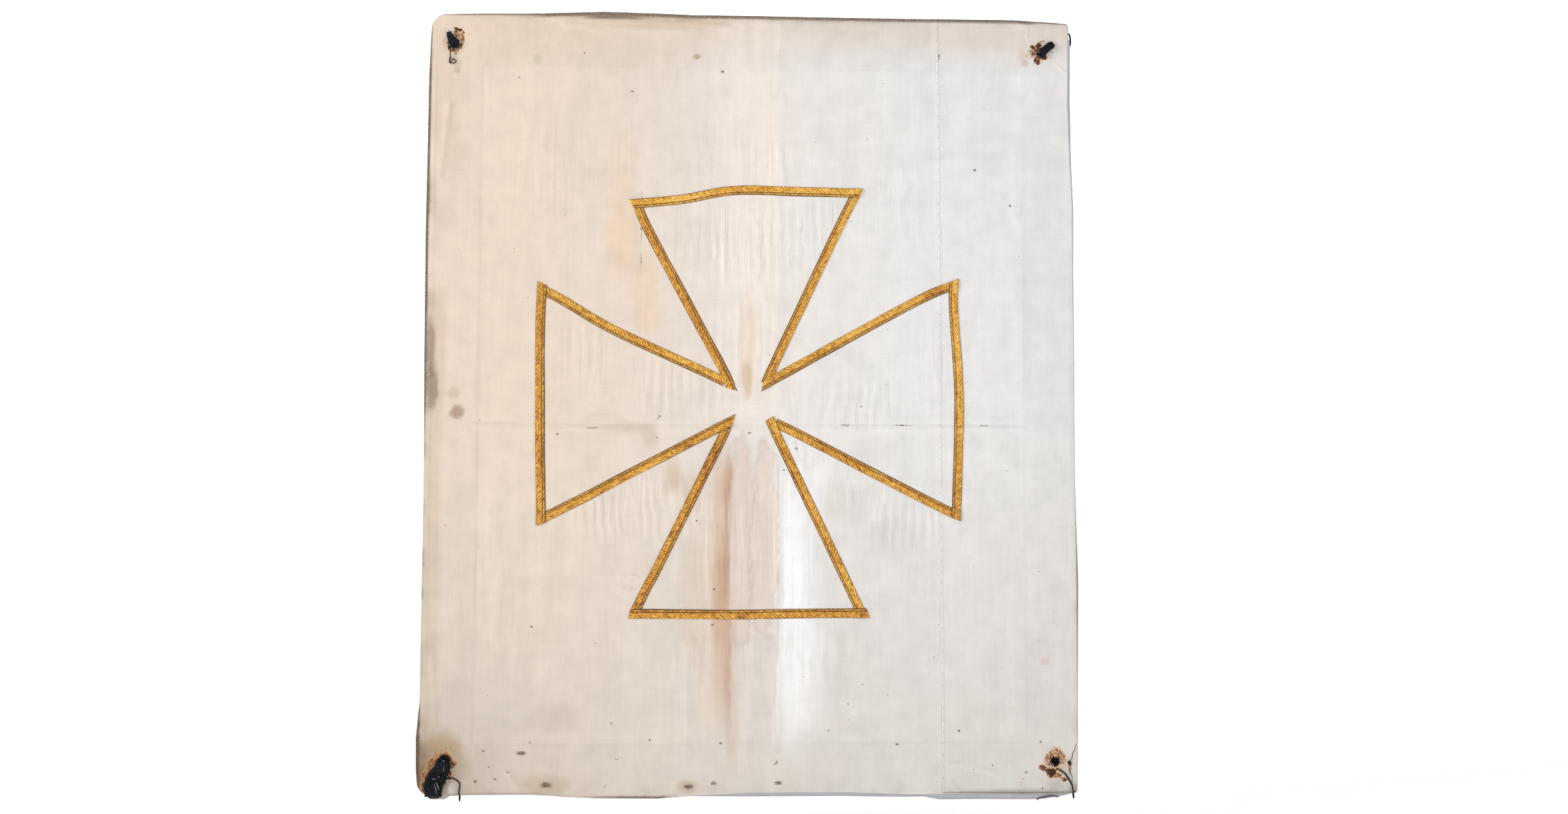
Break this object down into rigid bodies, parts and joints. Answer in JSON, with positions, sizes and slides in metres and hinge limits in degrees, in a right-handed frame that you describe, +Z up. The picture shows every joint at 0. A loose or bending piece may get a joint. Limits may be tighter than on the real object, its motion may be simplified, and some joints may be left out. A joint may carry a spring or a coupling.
{
  "type": "lined silk banner",
  "caption": "Rectangular lined silk banner with a gold-lace cross outline, hung from iron corner eyelets with remains of black tape ties.",
  "frame": {"origin": "middle of the hang line, the straight line between the centres of the two top eyelets, halfway across the cloth and in its canvas layer", "axes": "+X right across the front, +Y backwards through the cloth, so the silk front faces -Y, +Z up"},
  "size_m": [0.6375, 0.0108, 0.7695],
  "materials": {
    "ivory_silk": "ribbed silk, soft sheen, aged",
    "canvas": "stiff unbleached canvas, matt",
    "lining": "plain cotton, matt",
    "gold_lace": "metal-thread twill lace, worn gold sheen",
    "gold_thread": "waxed thread",
    "silk_thread": "silk sewing thread",
    "rusted_iron": "heavily rusted",
    "black_tape": "ribbed tape, waxy sheen",
    "black_thread": "twisted thread"
  },
  "bodies": {
    "banner": {"silk_main_panel": "ivory_silk", "silk_side_panel": "ivory_silk", "canvas_interlining": "canvas", "border_strip_top": "canvas", "border_strip_bottom": "canvas", "border_strip_left": "canvas", "border_strip_right": "canvas", "back_lining": "lining", "lace_top_left_leg": "gold_lace", "lace_top_bar": "gold_lace", "lace_top_right_leg": "gold_lace", "lace_right_upper_leg": "gold_lace", "lace_right_bar": "gold_lace", "lace_right_lower_leg": "gold_lace", "lace_bottom_right_leg": "gold_lace", "lace_bottom_bar": "gold_lace", "lace_bottom_left_leg": "gold_lace", "lace_left_lower_leg": "gold_lace", "lace_left_bar": "gold_lace", "lace_left_upper_leg": "gold_lace", "lace_stitches": "gold_thread", "seam_stitches": "silk_thread", "edge_stitches": "silk_thread", "eyelet_top_left": "rusted_iron", "washer_top_left": "rusted_iron", "eyelet_top_right": "rusted_iron", "washer_top_right": "rusted_iron", "eyelet_bottom_left": "rusted_iron", "washer_bottom_left": "rusted_iron", "eyelet_bottom_right": "rusted_iron", "washer_bottom_right": "rusted_iron", "tie_bottom_left": "black_tape", "thread_loop_bottom_left": "black_thread", "corner_thread_bottom_right": "black_thread", "loose_thread_bottom": "black_thread"},
    "top_left_tie": {"tie_top_left": "black_tape"},
    "top_left_tail": {"thread_tail_top_left": "black_thread"},
    "top_right_tie": {"tie_top_right": "black_tape"}
  },
  "joints": [
    {"name": "top_left_tie_swivel", "type": "hinge", "parent": "banner", "child": "top_left_tie", "pos_m": [-0.2955, 0, 0], "axis": [0, 1, 0], "range_deg": [-45, 60]},
    {"name": "top_left_tail_swing", "type": "hinge", "parent": "top_left_tie", "child": "top_left_tail", "pos_m": [-0.2987, 0, -0.0055], "axis": [0, 1, 0], "range_deg": [-40, 40]},
    {"name": "top_right_tie_swivel", "type": "hinge", "parent": "banner", "child": "top_right_tie", "pos_m": [0.2865, 0, 0], "axis": [0, 1, 0], "range_deg": [-30, 40]}
  ]
}
